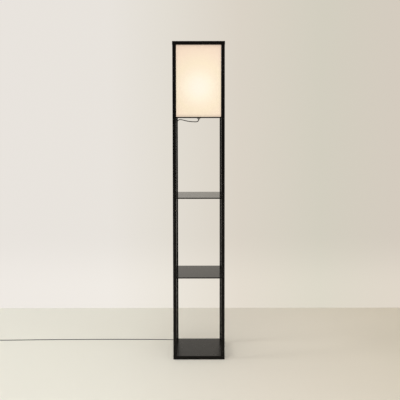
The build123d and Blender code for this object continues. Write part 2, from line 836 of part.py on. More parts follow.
def add_biarc(start, start_heading, end, end_heading):
    """Two arcs that join two points and run their two ways there."""
    chord = end - start
    both = start_heading + end_heading
    spread = 2 * (1 - start_heading.dot(end_heading))
    across = chord.dot(both)
    reach = (math.sqrt(across**2 + spread * chord.dot(chord)) - across) / spread
    first = start + start_heading * reach
    second = end - end_heading * reach
    joint = (first + second) / 2
    TangentArc(start, joint, tangent=start_heading)
    TangentArc(joint, end, tangent=(second - first).normalized())


with BuildPart() as lead_coil:
    with BuildLine() as coil_path:
        Line(coil_start, coil_point(0))
        for mark, after, heading, next_heading in zip(
            coil_marks, coil_marks[1:], coil_headings, coil_headings[1:]
        ):
            add_biarc(coil_point(mark), heading, coil_point(after), next_heading)
        Line(coil_point(coil_angle), coil_end)
    coil_wire = coil_path.wires()[0]
    with BuildSketch(Plane(coil_start, z_dir=coil_headings[0])):
        RegularPolygon(lead_radius, lead_sides)
    sweep(path=coil_wire)
finish_piece(lead_coil, "lead_coil")

samples = [coil_wire @ (step / 900) for step in range(901)]
spacing = coil_wire.length / 900
apart = int(math.pi * lead_diameter / spacing) + 1
least = min(
    (samples[i] - samples[j]).length
    for i in range(0, 901, 2)
    for j in range(i + apart, 901)
)
print(f"lead_coil: {coil_wire.length:.1f} mm long, least gap to itself {least - lead_diameter:.2f}")
print(f"  volume {lead_coil.part.volume / (lead_section * coil_wire.length):.4f} of expected")

# ---------------------------------------------------------------------- plug
# Moulded on the end of the lead, lying flat on the floor beside the coil.
plug_height = 2 * (lead_radius + coil_pitch)
plug_heading = coil_headings[-1]
plug_across = Vector(-plug_heading.Y, plug_heading.X, 0).normalized()


def plug_plane(distance):
    """A plane across the plug, by its distance from the end of the lead."""
    return Plane(coil_end + plug_heading * distance, x_dir=plug_across, z_dir=plug_heading)


with BuildPart() as plug_body:
    with BuildSketch(plug_plane(0)):
        RectangleRounded(plug_collar_width, plug_collar_height, plug_corner)
    extrude(amount=plug_collar)
    with BuildSketch(plug_plane(plug_collar)):
        RectangleRounded(plug_collar_width, plug_collar_height, plug_corner)
    with BuildSketch(plug_plane(plug_collar + plug_taper)):
        RectangleRounded(plug_width, plug_height, plug_corner)
    loft()
    with BuildSketch(plug_plane(plug_collar + plug_taper)):
        RectangleRounded(plug_width, plug_height, plug_corner)
    extrude(amount=plug_length - plug_collar - plug_taper)
    with BuildSketch(plug_plane(plug_length - blade_seat - blade_gap)):
        with GridLocations(blade_spacing, 1, 2, 1):
            Rectangle(blade_thickness + 2 * blade_gap, blade_height + 2 * blade_gap)
    extrude(amount=blade_seat + blade_gap, mode=Mode.SUBTRACT)
finish_piece(plug_body, "plug_body")

with BuildPart() as plug_blades:
    with BuildSketch(plug_plane(plug_length - blade_seat)):
        with GridLocations(blade_spacing, 1, 2, 1):
            Rectangle(blade_thickness, blade_height)
    extrude(amount=blade_seat + blade_reach)
    hole_place = coil_end + plug_heading * (plug_length + blade_reach - 2 * blade_hole)
    with BuildSketch(Plane(hole_place, x_dir=plug_heading, z_dir=plug_across)):
        Circle(blade_hole / 2)
    extrude(amount=blade_spacing, both=True, mode=Mode.SUBTRACT)
finish_piece(plug_blades, "plug_blades")
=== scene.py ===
import math

import bmesh
import bpy
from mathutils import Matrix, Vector


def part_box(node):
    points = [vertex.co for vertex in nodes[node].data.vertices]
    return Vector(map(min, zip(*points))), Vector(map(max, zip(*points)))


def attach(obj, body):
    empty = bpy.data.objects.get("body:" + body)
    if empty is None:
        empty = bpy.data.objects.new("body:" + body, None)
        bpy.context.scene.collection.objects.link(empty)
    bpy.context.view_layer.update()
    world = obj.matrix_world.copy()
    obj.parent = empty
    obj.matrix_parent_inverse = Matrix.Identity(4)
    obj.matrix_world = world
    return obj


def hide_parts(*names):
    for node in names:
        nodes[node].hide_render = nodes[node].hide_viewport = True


# Shelf floor lamp, dressed round its packed construction. Metres, +Z up, front -Y.
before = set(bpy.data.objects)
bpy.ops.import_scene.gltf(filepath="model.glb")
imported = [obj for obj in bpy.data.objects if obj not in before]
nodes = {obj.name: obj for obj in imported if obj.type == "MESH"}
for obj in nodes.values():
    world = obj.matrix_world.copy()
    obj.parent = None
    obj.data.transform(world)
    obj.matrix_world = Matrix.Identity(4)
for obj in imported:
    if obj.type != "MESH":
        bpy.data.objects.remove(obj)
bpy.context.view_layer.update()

# --------------------------------------------------------------- floor and wall
# A pale matt floor meets a pale wall close behind the lamp. The light is soft and
# comes mostly from the left; the darkening of both to the right is painted shade
# in their colours.
floor_level = -0.0003  # just under the pads
room_reach = 9.0
wall_distance = 0.76
wall_height = 7.0
tones_left = -1.3  # where the tones of floor and wall begin and end
tones_right = 1.3


def make_material(name, color, roughness=0.5, metallic=0.0, specular=0.5):
    """A named material, with its node tree and its Principled shader."""
    made = bpy.data.materials.new(name)
    made.use_nodes = True
    shader = made.node_tree.nodes["Principled BSDF"]
    shader.inputs["Base Color"].default_value = (*color, 1)
    shader.inputs["Roughness"].default_value = roughness
    shader.inputs["Metallic"].default_value = metallic
    shader.inputs["Specular IOR Level"].default_value = specular
    return made, made.node_tree, shader


def add_node(tree, kind, inputs=None, **settings):
    """A node with its settings, whose inputs are values or other nodes' outputs."""
    made = tree.nodes.new(kind)
    for setting, value in settings.items():
        setattr(made, setting, value)
    for socket, value in (inputs or {}).items():
        if isinstance(value, bpy.types.NodeSocket):
            tree.links.new(value, made.inputs[socket])
        else:
            made.inputs[socket].default_value = value
    return made


def color_ramp(tree, amount, stops):
    """A ramp from (position, colour) stops."""
    ramp = add_node(tree, "ShaderNodeValToRGB", {"Fac": amount})
    while len(ramp.color_ramp.elements) < len(stops):
        ramp.color_ramp.elements.new(0.5)
    for element, (position, color) in zip(ramp.color_ramp.elements, stops):
        element.position = position
        element.color = (*color, 1)
    return ramp.outputs["Color"]


def seen_rays(tree):
    """1 for a ray from the camera, also one that metal or glass has turned, else 0."""
    rays = add_node(tree, "ShaderNodeLightPath")
    turned = add_node(tree, "ShaderNodeMath", {
        0: rays.outputs["Is Glossy Ray"],
        1: rays.outputs["Is Transmission Ray"],
    }, operation="MAXIMUM")
    return add_node(tree, "ShaderNodeMath", {
        0: rays.outputs["Is Camera Ray"],
        1: turned.outputs[0],
    }, operation="MAXIMUM").outputs[0]


def across_room(tree):
    """0 at the left of the room, 1 at the right."""
    place = add_node(tree, "ShaderNodeTexCoord")
    split = add_node(tree, "ShaderNodeSeparateXYZ", {"Vector": place.outputs["Object"]})
    return add_node(tree, "ShaderNodeMapRange", {
        "Value": split.outputs["X"],
        "From Min": tones_left,
        "From Max": tones_right,
    }).outputs["Result"]


def stage_sheet(name, corners):
    """A flat sheet of the stage from its four corners."""
    mesh = bpy.data.meshes.new(name)
    mesh.from_pydata(corners, [], [(0, 1, 2, 3)])
    sheet = bpy.data.objects.new(name, mesh)
    bpy.context.scene.collection.objects.link(sheet)
    return sheet


floor = stage_sheet("floor", [
    (-room_reach, -room_reach, floor_level),
    (room_reach, -room_reach, floor_level),
    (room_reach, room_reach, floor_level),
    (-room_reach, room_reach, floor_level),
])
floor_material, tree, shader = make_material("pale floor", (0.8, 0.8, 0.7), 0.6, specular=0.2)
# The floor's tones darken to the right: painted shade of the light from the left.
floor_tones_painted_shade = [
    (0.0, (0.755, 0.755, 0.695)),
    (0.35, (0.785, 0.775, 0.705)),
    (0.6, (0.76, 0.72, 0.64)),
    (1.0, (0.715, 0.66, 0.555)),
]
# Painted light: the floor's colour is made lighter from the wall towards the camera.
floor_near = -1.0  # the floor grows lighter from the wall to here
floor_painted_light_near = 1.02
floor_painted_light_far = 0.955
floor_place = add_node(tree, "ShaderNodeSeparateXYZ", {
    "Vector": add_node(tree, "ShaderNodeTexCoord").outputs["Object"],
})
floor_painted_light_fade = add_node(tree, "ShaderNodeMapRange", {
    "Value": floor_place.outputs["Y"],
    "From Min": floor_near,
    "From Max": wall_distance,
    "To Min": floor_painted_light_near,
    "To Max": floor_painted_light_far,
})
floor_color = add_node(tree, "ShaderNodeVectorMath", {
    0: color_ramp(tree, across_room(tree), floor_tones_painted_shade),
    "Scale": floor_painted_light_fade.outputs["Result"],
}, operation="SCALE").outputs["Vector"]
tree.links.new(floor_color, shader.inputs["Base Color"])
# The floor is seen partly at its plain colour, which keeps its shadows light.
floor_plain_share = 0.2
floor_seen = add_node(tree, "ShaderNodeMath", {
    0: seen_rays(tree),
    1: floor_plain_share,
}, operation="MULTIPLY")
plain_floor = add_node(tree, "ShaderNodeMixShader", {
    0: floor_seen.outputs[0],
    1: shader.outputs[0],
    2: add_node(tree, "ShaderNodeEmission", {"Color": floor_color}).outputs[0],
})
tree.links.new(plain_floor.outputs[0], tree.nodes["Material Output"].inputs["Surface"])
floor.data.materials.append(floor_material)

wall = stage_sheet("wall", [
    (-room_reach, wall_distance, floor_level),
    (room_reach, wall_distance, floor_level),
    (room_reach, wall_distance, wall_height),
    (-room_reach, wall_distance, wall_height),
])
wall_material, tree, shader = make_material("pale wall", (0.8, 0.8, 0.7), 0.8, specular=0.0)
# The wall's tones darken to the right: painted shade of the light from the left.
wall_tones_painted_shade = [
    (0.0, (0.813, 0.775, 0.73)),
    (0.28, (0.808, 0.77, 0.72)),
    (0.42, (0.765, 0.725, 0.655)),
    (0.6, (0.705, 0.65, 0.568)),
    (0.8, (0.65, 0.618, 0.525)),
    (1.0, (0.66, 0.60, 0.52)),
]
# Painted light: the foot of the wall is painted brighter, most at the right, as light from the
# floor would make it.
wall_glow_left = 1.06
wall_glow_right = 1.13
wall_glow_bottom = 0.12
wall_glow_top = 0.5
wall_place = add_node(tree, "ShaderNodeSeparateXYZ", {
    "Vector": add_node(tree, "ShaderNodeTexCoord").outputs["Object"],
})
painted_glow_here = add_node(tree, "ShaderNodeMapRange", {
    "Value": across_room(tree),
    "To Min": wall_glow_left,
    "To Max": wall_glow_right,
})
painted_foot_glow = add_node(tree, "ShaderNodeMapRange", {
    "Value": wall_place.outputs["Z"],
    "From Min": wall_glow_top,
    "From Max": wall_glow_bottom,
    "To Min": 1.0,
    "To Max": painted_glow_here.outputs["Result"],
}, interpolation_type="SMOOTHSTEP")
wall_color = add_node(tree, "ShaderNodeVectorMath", {
    0: color_ramp(tree, across_room(tree), wall_tones_painted_shade),
    "Scale": painted_foot_glow.outputs["Result"],
}, operation="SCALE").outputs["Vector"]
tree.links.new(wall_color, shader.inputs["Base Color"])
plain_wall = add_node(tree, "ShaderNodeMixShader", {
    0: seen_rays(tree),
    1: shader.outputs[0],
    2: add_node(tree, "ShaderNodeEmission", {"Color": wall_color}).outputs[0],
})
# From behind, the wall is clear, so that the lamp shows from every side.
two_sided = add_node(tree, "ShaderNodeMixShader", {
    0: add_node(tree, "ShaderNodeNewGeometry").outputs["Backfacing"],
    1: plain_wall.outputs[0],
    2: add_node(tree, "ShaderNodeBsdfTransparent").outputs[0],
})
tree.links.new(two_sided.outputs[0], tree.nodes["Material Output"].inputs["Surface"])
wall.data.materials.append(wall_material)

# ----------------------------------------------------------------------- light
# Four large soft lamps in a room with a little light of its own. The one at the
# left stands low, and the posts' long soft shadows on the floor come from it.
room_strength = 0.23
world = bpy.data.worlds.new("studio")
world.use_nodes = True
room_light = world.node_tree.nodes["Background"]
room_light.inputs["Color"].default_value = (1.0, 0.985, 0.96, 1)
room_light.inputs["Strength"].default_value = room_strength
bpy.context.scene.world = world


def area_light(name, place, aim_height, size, power, color):
    """A soft square light, aimed at a height on the lamp's axis."""
    lamp = bpy.data.lights.new(name, "AREA")
    lamp.shape = "RECTANGLE"
    lamp.size = size
    lamp.size_y = size
    lamp.energy = power
    lamp.color = color
    holder = bpy.data.objects.new(name, lamp)
    holder.location = place
    aim = Vector((0, 0, aim_height)) - Vector(place)
    holder.rotation_euler = aim.to_track_quat("-Z", "Y").to_euler()
    bpy.context.scene.collection.objects.link(holder)


area_light("side light", (-7.8, -1.2, 3.0), 0.2, 2.0, 330, (1.0, 0.985, 0.955))
area_light("top light", (0.3, -0.8, 7.5), 0.3, 5.0, 215, (1.0, 0.98, 0.95))
area_light("light over camera", (-0.8, -4.4, 6.0), 0.3, 6.5, 130, (1.0, 0.975, 0.94))
area_light("light from behind", (0.0, 3.8, 7.2), 0.3, 6.5, 85, (1.0, 0.98, 0.95))

# ---------------------------------------------------------------------- camera
# A normal lens at the height of the lamp shelf, a little over three metres away.
# Its place, tilt and shift come from a fit to the corners of the frame.
camera_place = (0.0068, -3.324, 1.2266)
camera_pitch = 3.303  # degrees below the horizon
camera_roll = 0.08  # degrees
camera_data = bpy.data.cameras.new("camera")
camera_data.sensor_width = 36.0
camera_data.lens = 57.75
camera_data.shift_y = -0.1130
camera = bpy.data.objects.new("camera", camera_data)
camera.location = camera_place
camera.rotation_euler = (math.radians(90 - camera_pitch), math.radians(camera_roll), 0)
bpy.context.scene.collection.objects.link(camera)
bpy.context.scene.camera = camera
bpy.context.scene.view_settings.view_transform = "Standard"

# ---------------------------------------------------- posts, shelves, top frame
# Square posts, boards and lapped top rails of close-grained wood, sanded, with
# their edges eased, and sprayed with satin black paint.
paint_dark = (0.0032, 0.0026, 0.0020)
paint_light = (0.0055, 0.0046, 0.0037)
base_dulling = 0.15  # the base board's paint is this much rougher
relief_depth = 0.00002
relief_strength = 0.3
noise_low = 0.3  # most of a noise lies between these
noise_high = 0.7


def object_noise(tree, size, detail=2.0, stretch=(1, 1, 1)):
    """Noise fixed to the lamp, whose grains are about size metres across."""
    place = add_node(tree, "ShaderNodeTexCoord")
    scaled = add_node(tree, "ShaderNodeVectorMath", {
        0: place.outputs["Object"],
        1: [1 / (size * share) for share in stretch],
    }, operation="MULTIPLY")
    noise = add_node(tree, "ShaderNodeTexNoise", {
        "Vector": scaled.outputs["Vector"],
        "Scale": 1.0,
        "Detail": detail,
    })
    return noise.outputs["Fac"]


def vary_roughness(tree, shader, amount, low, high):
    """Roughness that follows a noise between two values."""
    spread = add_node(tree, "ShaderNodeMapRange", {
        "Value": amount,
        "From Min": noise_low,
        "From Max": noise_high,
        "To Min": low,
        "To Max": high,
    })
    tree.links.new(spread.outputs["Result"], shader.inputs["Roughness"])


def vary_color(tree, shader, amount, dark, light):
    """A colour that follows a noise between two tones."""
    tones = color_ramp(tree, amount, [(noise_low, dark), (noise_high, light)])
    tree.links.new(tones, shader.inputs["Base Color"])


def add_bump(tree, shader, height, depth, strength=1.0):
    """Fine relief of the given depth in metres."""
    bump = add_node(tree, "ShaderNodeBump", {
        "Height": height,
        "Distance": depth,
        "Strength": strength,
    })
    tree.links.new(bump.outputs["Normal"], shader.inputs["Normal"])
    return bump


def dress(material, *names):
    """Puts a material on construction pieces that show as they are."""
    for name in names:
        mesh = nodes[name].data
        mesh.materials.clear()
        mesh.materials.append(material)


def satin_paint(name, grain, dulling=0.0):
    """Black paint in which the grain below just shows along one axis."""
    made, tree, shader = make_material(name, paint_light, 0.14, specular=0.15)
    vary_color(tree, shader, object_noise(tree, 0.05, 3), paint_dark, paint_light)
    patches = object_noise(tree, 0.02, 4)
    vary_roughness(tree, shader, patches, 0.11 + dulling, 0.18 + dulling)
    peel_noise = object_noise(tree, 0.002, 2)
    peel = add_bump(tree, shader, peel_noise, relief_depth, relief_strength)
    fibres = add_node(tree, "ShaderNodeBump", {
        "Height": object_noise(tree, 0.0014, 3, grain),
        "Distance": relief_depth,
        "Strength": relief_strength,
    })
    tree.links.new(fibres.outputs["Normal"], peel.inputs["Normal"])
    return made


upright_paint = satin_paint("satin black, upright grain", (1, 1, 30))
board_paint = satin_paint("satin black, grain across", (30, 1, 1))
deep_paint = satin_paint("satin black, grain to the back", (1, 30, 1))
base_paint = satin_paint("satin black, duller, grain across", (30, 1, 1), base_dulling)
tiers = ("lower", "middle", "upper", "lamp")
corners = ("front_left", "front_right", "rear_left", "rear_right")
dress(upright_paint, *[f"{tier}_post_{corner}" for tier in tiers for corner in corners])
dress(base_paint, "base_board")
dress(board_paint, "lower_shelf", "middle_shelf", "lamp_shelf")
dress(board_paint, "top_rail_front", "top_rail_back")
dress(deep_paint, "top_rail_left", "top_rail_right")

# ----------------------------------------------------------- fasteners and pads
# Zinc-plated studs and inserts join the posts through the shelves. Black bolts
# hold the base and the top frame, and thin felt pads save the floor.
zinc, tree, shader = make_material("zinc plate", (0.55, 0.55, 0.53), 0.35, metallic=1.0)
vary_color(tree, shader, object_noise(tree, 0.003), (0.47, 0.47, 0.44), (0.62, 0.62, 0.60))
vary_roughness(tree, shader, object_noise(tree, 0.001, 3), 0.28, 0.46)
add_bump(tree, shader, object_noise(tree, 0.0005, 3), 0.00001)
dress(zinc, "lower_shelf_studs", "middle_shelf_studs", "lamp_shelf_studs", "clip_nails")

yellow_zinc, tree, shader = make_material("yellow zinc", (0.5, 0.45, 0.28), 0.35, metallic=1.0)
vary_color(tree, shader, object_noise(tree, 0.003), (0.46, 0.38, 0.20), (0.58, 0.54, 0.38))
vary_roughness(tree, shader, object_noise(tree, 0.001, 3), 0.3, 0.5)
add_bump(tree, shader, object_noise(tree, 0.0005, 3), 0.00001)
dress(yellow_zinc, *[f"{tier}_post_inserts" for tier in tiers])

oxide, tree, shader = make_material("black oxide", (0.02, 0.02, 0.02), 0.4, metallic=1.0)
vary_color(tree, shader, object_noise(tree, 0.002), (0.015, 0.015, 0.016), (0.035, 0.033, 0.03))
vary_roughness(tree, shader, object_noise(tree, 0.001, 3), 0.34, 0.5)
add_bump(tree, shader, object_noise(tree, 0.0004, 3), 0.00001)
dress(oxide, "base_bolts", "top_bolts")

felt, tree, shader = make_material("grey felt", (0.06, 0.056, 0.05), 0.95, specular=0.1)
vary_color(tree, shader, object_noise(tree, 0.0008, 4), (0.04, 0.037, 0.033), (0.10, 0.095, 0.085))
add_bump(tree, shader, object_noise(tree, 0.0005, 4), 0.0003)
dress(felt, "foot_pads")

# ------------------------------------------------------------------ lampholder
# A brass-cased E26 lampholder stands on the lamp shelf, clamped there by nuts on a
# threaded nipple. Its body and turn knob are black mouldings, its sleeve is fibre.
satin_brass, tree, shader = make_material("satin brass", (0.62, 0.45, 0.2), 0.32, metallic=1.0)
vary_color(tree, shader, object_noise(tree, 0.01, 3), (0.56, 0.40, 0.17), (0.68, 0.51, 0.25))
vary_roughness(tree, shader, object_noise(tree, 0.004, 4), 0.24, 0.4)
add_bump(tree, shader, object_noise(tree, 0.0004, 2, (1, 1, 0.1)), 0.00001)
dress(satin_brass, "holder_cap", "holder_shell")

fibre, tree, shader = make_material("pressed fibre", (0.28, 0.2, 0.11), 0.85, specular=0.2)
vary_color(tree, shader, object_noise(tree, 0.001, 4), (0.23, 0.16, 0.09), (0.33, 0.25, 0.15))
vary_roughness(tree, shader, object_noise(tree, 0.002, 3), 0.75, 0.92)
add_bump(tree, shader, object_noise(tree, 0.0006, 4), 0.00005)
dress(fibre, "insulating_sleeve")

moulding, tree, shader = make_material("black moulding", (0.014, 0.013, 0.012), 0.3)
moulding_patches = object_noise(tree, 0.006, 3)
vary_color(tree, shader, moulding_patches, (0.011, 0.010, 0.009), (0.018, 0.016, 0.014))
vary_roughness(tree, shader, object_noise(tree, 0.003, 3), 0.26, 0.4)
add_bump(tree, shader, object_noise(tree, 0.0006, 2), 0.00001)
dress(moulding, "holder_body", "switch_knob", "lead_bushing")

brass, tree, shader = make_material("rolled brass", (0.66, 0.50, 0.26), 0.3, metallic=1.0)
vary_color(tree, shader, object_noise(tree, 0.004), (0.60, 0.45, 0.22), (0.72, 0.56, 0.31))
vary_roughness(tree, shader, object_noise(tree, 0.002, 3), 0.22, 0.4)
add_bump(tree, shader, object_noise(tree, 0.0004, 2, (1, 12, 1)), 0.00001)
dress(brass, "centre_contact", "switch_spindle")
dress(zinc, "holder_nipple", "holder_washers", "holder_nuts")

# The round thread is rolled, in the thin brass shell here and later in the bulb's cap.
thread_pitch = 0.00363
thread_depth = 0.0007
thread_row = 0.0006
thread_sides = 48
shell_gauge = 0.0005


def new_piece(name, mesh):
    """An object of the lamp, on its fixed body."""
    piece = bpy.data.objects.new(name, mesh)
    bpy.context.scene.collection.objects.link(piece)
    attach(piece, "root")
    return piece


def smooth(mesh, angle=35):
    """Smooth shading, with an edge kept wherever it turns more than the angle."""
    mesh.shade_smooth()
    mesh.set_sharp_from_angle(angle=math.radians(angle))


def rolled_thread(name, radius, bottom, top, foot=()):
    """A round-threaded tube, on a foot of (radius, height) rows."""
    around = thread_sides
    steps = int((top - bottom) / thread_row)
    rows = [[out] * around + [z] for out, z in foot]
    for step in range(steps + 1):
        z = bottom + (top - bottom) * step / steps
        fade = min(1.0, (z - bottom) / thread_pitch, (top - z) / thread_pitch)
        waves = [
            math.cos(2 * math.pi * (z / thread_pitch - side / around))
            for side in range(around)
        ]
        rows.append([radius - thread_depth / 2 * (1 - wave * fade) for wave in waves] + [z])
    vertices = []
    for *outs, z in rows:
        for side, out in enumerate(outs):
            turn = 2 * math.pi * side / around
            vertices.append((out * math.cos(turn), out * math.sin(turn), z))
    faces = [
        (
            row * around + side,
            row * around + (side + 1) % around,
            (row + 1) * around + (side + 1) % around,
            (row + 1) * around + side,
        )
        for row in range(len(rows) - 1)
        for side in range(around)
    ]
    if foot:
        faces.append(tuple(reversed(range(around))))
    mesh = bpy.data.meshes.new(name)
    mesh.from_pydata(vertices, [], faces)
    smooth(mesh, 60)
    return new_piece(name, mesh)


shell_low, shell_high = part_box("screw_shell")
threaded_shell = rolled_thread(
    "threaded_shell", shell_high.x, shell_low.z, shell_high.z
)
shell_wall = threaded_shell.modifiers.new("wall", "SOLIDIFY")
shell_wall.thickness = shell_gauge
shell_wall.offset = -1
threaded_shell.data.materials.append(brass)
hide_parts("screw_shell")

# ------------------------------------------------------------------ mains lead
# A flat two-core lead in black vinyl. It leaves the bushing under the lamp shelf,
# sags to the rear left post, goes down the post's back under six clips, and runs
# along the floor. What is to spare lies in a small coil with the plug beside it.
lead_width = 0.0052
core_radius = 0.0014
core_offset = lead_width / 2 - core_radius
exit_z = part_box("lead_bushing")[0].z
post_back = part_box("lower_post_rear_left")[1].y
post_x = (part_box("lower_post_rear_left")[0].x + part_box("lower_post_rear_left")[1].x) / 2
lead_y = post_back + core_radius + 0.0001  # the flat lead lies against the post
clip_bend = 6 * lead_width
post_start = 0.090  # below the exit, where the lead comes to the post's back
post_end = 0.062  # above the floor, where it leaves the post again
lead_route = [
    (0.0, 0.0, exit_z),
    (0.0, 0.0, exit_z - 0.0045),
    (-0.0035, 0.0031, exit_z - 0.0096),
    (-0.0105, 0.0093, exit_z - 0.0126),
    (-0.024, 0.0215, exit_z - 0.0127),
    (-0.041, 0.038, exit_z - 0.0118),
    (-0.059, 0.058, exit_z - 0.0096),
    (-0.079, 0.082, exit_z - 0.0048),
    (-0.096, 0.106, exit_z - 0.0010),
    (-0.1070, 0.127, exit_z - 0.0018),
    (-0.1160, 0.139, exit_z - 0.0105),
    (-0.1200, 0.143, exit_z - 0.032),
    (-0.1205, 0.1392, exit_z - 0.059),
    (post_x, lead_y, exit_z - post_start),
    (post_x, lead_y, exit_z - post_start - clip_bend),
    (post_x, lead_y, post_end + clip_bend),
    (post_x, lead_y, post_end),
    (-0.1218, 0.1345, 0.042),
    (-0.1240, 0.1410, 0.025),
    (-0.129, 0.1500, 0.0112),
    (-0.139, 0.1568, 0.0034),
    (-0.155, 0.1610, core_radius),
    (-0.171, 0.1632, core_radius),
    (-0.185, 0.1642, core_radius),
    (-0.215, 0.1654, core_radius),
    (-0.285, 0.1666, core_radius),
    (-0.355, 0.1674, core_radius),
    (-0.430, 0.1679, core_radius),
    (-0.506, 0.1680, core_radius),
    (-0.580, 0.1678, core_radius),
    (-0.652, 0.1672, core_radius),
    (-0.722, 0.1661, core_radius),
    (-0.790, 0.1646, core_radius),
    (-0.858, 0.1629, core_radius),
    (-0.926, 0.1610, core_radius),
    (-0.992, 0.1589, core_radius),
    (-1.056, 0.1566, core_radius),
    (-1.1189, 0.1565, core_radius),
]
# The coil goes inwards on the floor, climbs, and comes out again on top of itself.
coil_center = (-1.176, 0.119)
coil_radius = 0.035
coil_pitch = 0.0059
coil_layer = 0.003  # from the lower layer of turns to the upper one
coil_turning = 1530  # degrees
coil_climb = 170  # degrees
points_per_turn = 18
coil_step = 360 / points_per_turn
# A spline runs a little inside its points, so the points stand that much further out.
spline_room = 1 / math.cos(math.pi / points_per_turn)

for step in range(int(coil_turning / coil_step) + 1):
    angle = step * coil_step
    radius = coil_radius - coil_pitch * min(angle, coil_turning - angle) / 360
    climb = min(max((angle - coil_turning / 2) / coil_climb + 0.5, 0), 1)
    turn = math.radians(90 + angle)
    lead_route.append((
        coil_center[0] + radius * spline_room * math.cos(turn),
        coil_center[1] + radius * spline_room * math.sin(turn),
        core_radius + coil_layer * climb,
    ))
plug_low, plug_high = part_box("plug_body")
plug_x = (plug_low.x + plug_high.x) / 2
plug_axis = (plug_low.z + plug_high.z) / 2
lead_route += [
    (plug_x, coil_center[1] - 0.012, core_radius + coil_layer),
    (plug_x, (coil_center[1] + plug_high.y) / 2 - 0.003, plug_axis - 0.0015),
    (plug_x, plug_high.y + 0.006, plug_axis),
    (plug_x, plug_high.y - 0.001, plug_axis),
]

route_curve = bpy.data.curves.new("lead route", "CURVE")
route_curve.dimensions = "3D"
route_spline = route_curve.splines.new("NURBS")
route_spline.points.add(len(lead_route) - 1)
for control, place in zip(route_spline.points, lead_route):
    control.co = (*place, 1)
route_spline.order_u = 3
route_spline.use_endpoint_u = True
route_curve.resolution_u = 4
route_object = bpy.data.objects.new("lead route", route_curve)
route_mesh = bpy.data.meshes.new_from_object(route_object)
lead_path = [vertex.co.copy() for vertex in route_mesh.vertices]
bpy.data.objects.remove(route_object)


def two_core_outline(steps=8, reach=138):
    """The lead's section, (across, up) from its middle: two round cores side by side."""
    outline = []
    for side in (1, -1):
        for step in range(steps + 1):
            angle = math.radians(reach * (2 * step / steps - 1))
            outline.append((
                side * (core_offset + core_radius * math.cos(angle)),
                side * core_radius * math.sin(angle),
            ))
    return outline


def lead_headings(path):
    """The way that the lead runs at each point of its path."""
    ends = zip([path[0], *path[:-1]], [*path[1:], path[-1]])
    return [(after - before).normalized() for before, after in ends]


first_wide = Vector((-0.67, -0.74, 0))  # the wide side as it leaves the bushing
clear_of_post = 0.03  # above the floor and below the exit
sag_twist = 1.6  # under the shelf the flat lead hangs turned on its edge
sag_end = 0.09
twist_share = 0.12  # of the way to the wanted direction, at each point


def lead_widths(path, headings):
    """The direction of the lead's wide side at each point, with no sudden twist."""
    wide = first_wide
    widths = []
    for place, heading in zip(path, headings):
        on_post = clear_of_post < place.z < exit_z - clear_of_post
        wanted = Vector((-1, 0, 0)) if on_post else Vector((0, 0, 1)).cross(heading)
        if wanted.dot(wide) < 0:
            wanted = -wanted
        if place.z > exit_z - clear_of_post and place.y < sag_end:
            wanted += sag_twist * heading.cross(wanted)
        wide = wide.lerp(wanted, twist_share)
        wide = (wide - heading * wide.dot(heading)).normalized()
        widths.append(wide.copy())
    return widths


def sweep_outline(name, path, widths, headings, outline):
    """A closed mesh of one outline carried along a path."""
    vertices = []
    for place, wide, heading in zip(path, widths, headings):
        up = heading.cross(wide)
        vertices += [place + wide * across + up * high for across, high in outline]
    count = len(outline)
    faces = [
        (
            ring * count + side,
            ring * count + (side + 1) % count,
            (ring + 1) * count + (side + 1) % count,
            (ring + 1) * count + side,
        )
        for ring in range(len(path) - 1)
        for side in range(count)
    ]
    faces += [tuple(reversed(range(count))), tuple(range(len(vertices) - count, len(vertices)))]
    mesh = bpy.data.meshes.new(name)
    mesh.from_pydata(vertices, [], faces)
    smooth(mesh)
    return mesh


headings = lead_headings(lead_path)
widths = lead_widths(lead_path, headings)
lead_mesh = sweep_outline("mains_lead", lead_path, widths, headings, two_core_outline())
lead = new_piece("mains_lead", lead_mesh)

vinyl, tree, shader = make_material("black vinyl", (0.012, 0.012, 0.012), 0.45)
vary_color(tree, shader, object_noise(tree, 0.03), (0.010, 0.010, 0.010), (0.016, 0.015, 0.014))
vary_roughness(tree, shader, object_noise(tree, 0.008, 3), 0.38, 0.52)
add_bump(tree, shader, object_noise(tree, 0.0006), 0.00003)
lead.data.materials.append(vinyl)
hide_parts("post_lead", "floor_lead", "lead_coil")

# ------------------------------------------------------------------ lead clips
# Six small bridges moulded in black vinyl hold the flat lead to the posts' back.
# Each has a foot at one side, through which a nail is driven into the post.
clip_wall = 0.0014
clip_play = 0.0002
clip_height = 0.006
clip_offset = 0.115  # from a clip to the nearest shelf or base
clip_foot = 0.003
foot_margin = 0.0022  # from the nail's middle to the foot's end
edge_rounding = 0.00025
nail_low, nail_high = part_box("clip_nails")
foot_end = (nail_low.x + nail_high.x) / 2 - post_x + foot_margin
inner_x = lead_width / 2 + clip_play
inner_y = 2 * core_radius + clip_play
clip_outline = [
    (-inner_x - clip_wall, 0),
    (-inner_x, 0),
    (-inner_x, core_radius),
    (-inner_x + core_radius, inner_y),
    (inner_x - core_radius, inner_y),
    (inner_x, core_radius),
    (inner_x, 0),
    (foot_end, 0),
    (foot_end, clip_foot),
    (inner_x + clip_wall, clip_foot),
    (inner_x, inner_y + clip_wall),
    (-inner_x, inner_y + clip_wall),
    (-inner_x - clip_wall, inner_y),
]
clip_mesh = bpy.data.meshes.new("flat_lead_clips")
clips = bmesh.new()
for tier in ("lower", "middle", "upper"):
    tier_low, tier_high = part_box(f"{tier}_post_rear_left")
    for level in (tier_low.z + clip_offset, tier_high.z - clip_offset):
        ends = [
            [clips.verts.new((post_x + x, post_back + y, level + rise)) for x, y in clip_outline]
            for rise in (-clip_height / 2, clip_height / 2)
        ]
        clips.faces.new(reversed(ends[0]))
        clips.faces.new(ends[1])
        for here in range(len(clip_outline)):
            after = (here + 1) % len(clip_outline)
            clips.faces.new((ends[0][here], ends[0][after], ends[1][after], ends[1][here]))
clips.normal_update()
